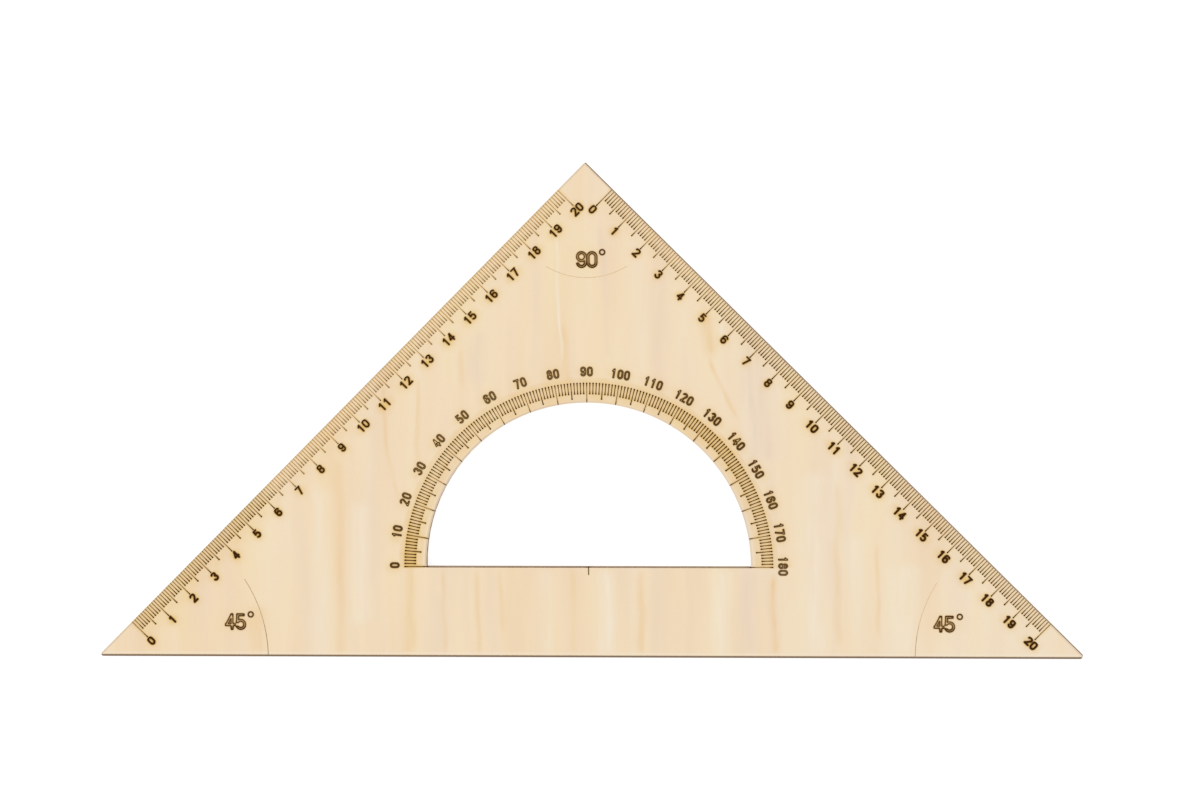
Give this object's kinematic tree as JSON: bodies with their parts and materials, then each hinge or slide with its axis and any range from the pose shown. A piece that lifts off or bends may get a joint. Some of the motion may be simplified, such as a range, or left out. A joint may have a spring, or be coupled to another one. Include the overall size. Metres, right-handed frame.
{
  "type": "protractor set square",
  "caption": "Flat 45-degree plywood set square with a centimetre scale along both legs and a semicircular degree window above its long edge.",
  "frame": {"origin": "on the table under the centre of the bounding box, in the plane of the plain back face", "axes": "+X along the hypotenuse towards the 180-degree end of the degree scale, +Y from the hypotenuse towards the right-angled corner, +Z out of the engraved face"},
  "size_m": [0.3212, 0.1614, 0.003],
  "materials": {
    "face_wood": "bare smooth basswood, unvarnished",
    "core_wood": "bare wood with a laser-browned edge",
    "glue": "thin dark glue film"
  },
  "bodies": {
    "root": {"back_veneer": "face_wood", "back_glue_line": "glue", "core_veneer": "core_wood", "front_glue_line": "glue", "front_veneer": "face_wood"}
  },
  "joints": []
}
